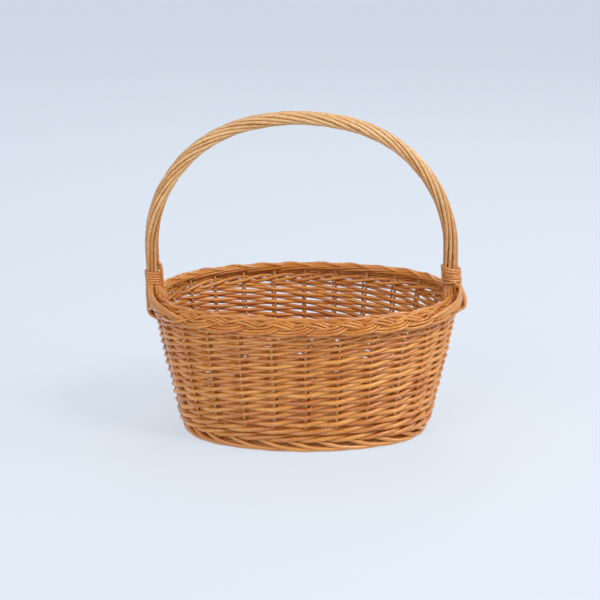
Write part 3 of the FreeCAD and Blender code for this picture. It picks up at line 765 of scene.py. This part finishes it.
def coil(sign, low, high, away, turns, slant):
    """
    A rod wound round one leg: it goes round the leg's middle and climbs evenly from low to
    high, each turn tipped so that it is lower on the outer side by the slant times its radius.
    """
    turn = np.linspace(0, 2 * np.pi * turns, int(turns * 28))
    rise = low + (high - low) * turn / turn[-1] - slant * away * np.cos(turn)
    across = sign * (LEG_X + away * np.cos(turn))
    return lean_of_handle(np.stack([across, away * np.sin(turn), rise], axis=-1))


chance = np.random.default_rng(20)
neat = coil(-1, wrap_low[2] + 0.0065, wrap_high[2] + 0.0005, ROPE_RADIUS + 0.0009, 5.6, 0.0)
tone = 0.45 + 0.25 * slow_noise(chance, 1, len(neat), 7)
left_whip = rods("left_neck_wrap_coil", neat[None], WHIP_ROD, (0, 0, 1), tone, 9)
fit(left_whip, whipping_willow, "whipping_willow", "left_neck_wrap")
# A spare end stands up beside the left whipping in a loop, and two cross over the right one.
at = np.linspace(0, 1, 40)
loop = np.stack([
    bend(at, [0, 0.3, 0.7, 0.9, 1], [-0.1812, -0.1796, -0.1792, -0.1806, -0.1835]),
    bend(at, [0, 1], [-0.0050, -0.0035]),
    bend(at, [0, 0.9, 1], [0.1830, 0.2160, 0.2170]),
], axis=-1)
left_loop = rods("left_neck_wrap_loop", lean_of_handle(loop)[None], WHIP_ROD * 1.15, (0, 1, 0), 0.5, 9)
fit(left_loop, whipping_willow, "whipping_willow", "left_neck_wrap")

lower = coil(1, wrap_low[2] + 0.0105, wrap_high[2] + 0.0030, ROPE_RADIUS + 0.0021, 5.3, 0.16)
upper = coil(1, wrap_high[2] - 0.0035, wrap_high[2] + 0.0048, ROPE_RADIUS + 0.0026, 2.2, 0.28)
cross = coil(1, wrap_low[2] + 0.0080, wrap_low[2] + 0.0120, ROPE_RADIUS + 0.0031, 1.3, -0.14)
for number, band in enumerate([lower, upper, cross]):
    tone = 0.5 + 0.25 * slow_noise(chance, 1, len(band), 5)
    whip = rods(f"right_neck_wrap_band_{number + 1}", band[None], WHIP_ROD * 1.05, (0, 0, 1), tone, 9)
    fit(whip, whipping_willow, "whipping_willow", "right_neck_wrap")
ends = np.array([
    [[0.1925, -0.0128, 0.1935], [0.1965, -0.0135, 0.1890], [0.2010, -0.0110, 0.1850]],
    [[0.2015, -0.0095, 0.1925], [0.1975, -0.0132, 0.1885], [0.1935, -0.0125, 0.1850]],
])
tucked = rods("right_neck_wrap_ends", lean_of_handle(ends), WHIP_ROD * 0.8, (0, 0, 1), [0.8, 0.6], 9)
fit(tucked, whipping_willow, "whipping_willow", "right_neck_wrap")

# The tails stand round the neck. Where each one goes is given by its foot on the right side: the
# straight ones go down inside the border, the stubs on top of it and the loops outside it.
TAIL_ROD = 0.00235
TAIL_ROUND = 0.0078
TAIL_TOP = 0.2000
straight_feet = [(0.1768, -0.0055), (0.1795, -0.0092), (0.1840, -0.0104)]
straight_feet += [(0.1775, 0.0030), (0.1800, 0.0085), (0.1850, 0.0095)]
stub_feet = [(0.1888, -0.0106), (0.1935, -0.0098), (0.1972, -0.0062), (0.1980, 0.0035)]
looped_feet = [(0.2015, -0.0050), (0.2025, 0.0005), (0.2010, 0.0060)]
at = np.linspace(0, 1, 44)
for side, sign, bulge, foot_z in (("left", -1, 0.0, 0.1500), ("right", 1, 0.0030, 0.1580)):
    tails, tones = [], []
    for foot_x, foot_y in straight_feet + stub_feet + looped_feet:
        turn = np.arctan2(foot_y, foot_x - LEG_X)
        start_x = LEG_X + TAIL_ROUND * np.cos(turn)
        start_y = TAIL_ROUND * np.sin(turn)
        if (foot_x, foot_y) in looped_feet:
            far = foot_x + bulge
            x = bend(at, [0, 0.2, 0.5, 0.78, 1], [start_x, start_x + 0.0020, far, far, 0.1880])
            z = bend(at, [0, 0.2, 0.5, 0.78, 1], [TAIL_TOP, 0.1870, 0.1700, foot_z, foot_z - 0.0080])
        else:
            low_end = 0.1520 if foot_x < LEG_X else 0.1720
            x = bend(at, [0, 0.3, 0.6, 1], [start_x, start_x - 0.0005, foot_x, foot_x + 0.0005])
            z = bend(at, [0, 1], [TAIL_TOP, low_end])
        y = bend(at, [0, 0.25, 0.6, 1], [start_y, start_y, foot_y, foot_y * 1.1])
        tails.append(lean_of_handle(np.stack([sign * x, y, z], axis=-1)))
        tones.append(chance.uniform(0.3, 0.8))
    tail = rods(f"{side}_rope_tail_rods", np.array(tails), TAIL_ROD, (0, 1, 0), tones, 9)
    fit(tail, whipping_willow, "whipping_willow", f"{side}_rope_tails")

# ----------------------------------------------------------------------- floor, light, camera
# A wide pale floor that rises very slowly far away, like a shallow dish, soft lights above, to
# the right, to the left and behind, and a long lens from the front and a little above.

FLOOR_REACH = 80
FLOOR_POINTS = 61
FLAT_REACH = 3
FLOOR_RISE = 0.002
floor_side = FLOOR_REACH * np.linspace(-1, 1, FLOOR_POINTS) ** 3
floor_x, floor_y = np.meshgrid(floor_side, floor_side)
floor_z = FLOOR_RISE * np.maximum(np.hypot(floor_x, floor_y) - FLAT_REACH, 0) ** 2
points = np.stack([floor_x, floor_y, floor_z], axis=-1)
rows = np.arange(FLOOR_POINTS**2).reshape(FLOOR_POINTS, FLOOR_POINTS)
quads = np.stack([rows[:-1, :-1], rows[:-1, 1:], rows[1:, 1:], rows[1:, :-1]], axis=-1).reshape(-1, 4)
stage_mesh = bpy.data.meshes.new("backdrop")
stage_mesh.from_pydata(points.reshape(-1, 3).tolist(), [], quads.tolist())
stage_mesh.polygons.foreach_set("use_smooth", np.ones(len(quads), dtype=bool))
backdrop = bpy.data.objects.new("backdrop", stage_mesh)
bpy.context.collection.objects.link(backdrop)
paper = bpy.data.materials.new("backdrop_paper")
paper.use_nodes = True
matt = paper.node_tree.nodes["Principled BSDF"].inputs
matt["Base Color"].default_value = (0.25, 0.255, 0.265, 1)
matt["Emission Color"].default_value = (0.500, 0.560, 0.635, 1)
matt["Emission Strength"].default_value = 1.0
matt["Specular IOR Level"].default_value = 0.0
matt["Roughness"].default_value = 0.9
stage_mesh.materials.append(paper)


def soft_light(name, place, aim, size, power, colour):
    """A square area light that faces a point."""
    lamp = bpy.data.lights.new(name, "AREA")
    lamp.size = size
    lamp.energy = power
    lamp.color = colour
    holder = bpy.data.objects.new(name, lamp)
    bpy.context.collection.objects.link(holder)
    holder.location = place
    toward = np.array(aim) - np.array(place)
    pitch = np.arctan2(np.hypot(toward[0], toward[1]), -toward[2])
    holder.rotation_euler = (pitch, 0, np.arctan2(toward[1], toward[0]) - np.pi / 2)


soft_light("key_light", (1.5, -1.3, 2.2), (0, 0, 0.15), 0.8, 37, (1.0, 0.98, 0.95))
soft_light("side_light", (2.5, -0.2, 1.7), (0, 0, 0.12), 0.7, 18, (1.0, 0.98, 0.95))
soft_light("fill_light", (-1.6, -2.2, 1.6), (0, 0, 0.15), 1.6, 25, (0.99, 0.98, 1.0))
soft_light("back_light", (0.3, 2.0, 2.2), (0, 0, 0.2), 1.4, 14, (1.0, 1.0, 1.0))
world = bpy.data.worlds.new("studio")
world.use_nodes = True
world.node_tree.nodes["Background"].inputs["Color"].default_value = (0.90, 0.94, 1.0, 1)
world.node_tree.nodes["Background"].inputs["Strength"].default_value = 0.5
bpy.context.scene.world = world

CAMERA_DOWN = 15.56
lens = bpy.data.cameras.new("camera")
lens.lens = 100.7
lens.sensor_width = 36
lens.clip_end = 200
camera = bpy.data.objects.new("camera", lens)
bpy.context.collection.objects.link(camera)
camera.location = (-0.0071, -2.079, 0.745)
camera.rotation_euler = (np.radians(90 - CAMERA_DOWN), 0, 0)
bpy.context.scene.camera = camera
bpy.context.scene.view_settings.view_transform = "Standard"
